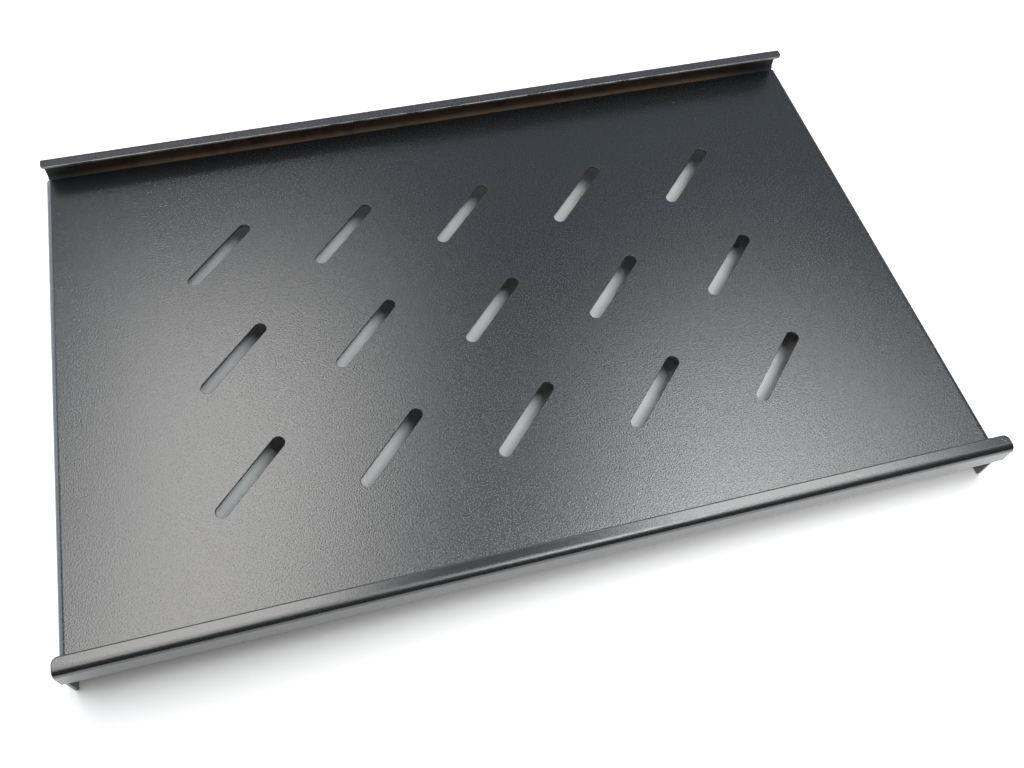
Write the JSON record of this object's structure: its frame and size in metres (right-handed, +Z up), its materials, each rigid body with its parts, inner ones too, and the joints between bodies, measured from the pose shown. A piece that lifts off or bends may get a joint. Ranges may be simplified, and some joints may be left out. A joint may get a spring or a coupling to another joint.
{
  "type": "rack shelf",
  "caption": "Flat sheet-metal rack shelf with upturned front and rear lips, side flanges folded down and a field of slanted ventilation slots.",
  "frame": {"origin": "centre of the rectangle the shelf stands on, level with the bottom edges of its side flanges", "axes": "+X along the length, +Y from the front lip to the rear lip, +Z up"},
  "size_m": [0.464, 0.3, 0.0385],
  "materials": {
    "black_powder_coat": "fine-textured satin powder coat"
  },
  "bodies": {
    "root": {"shelf": "black_powder_coat"}
  },
  "joints": []
}
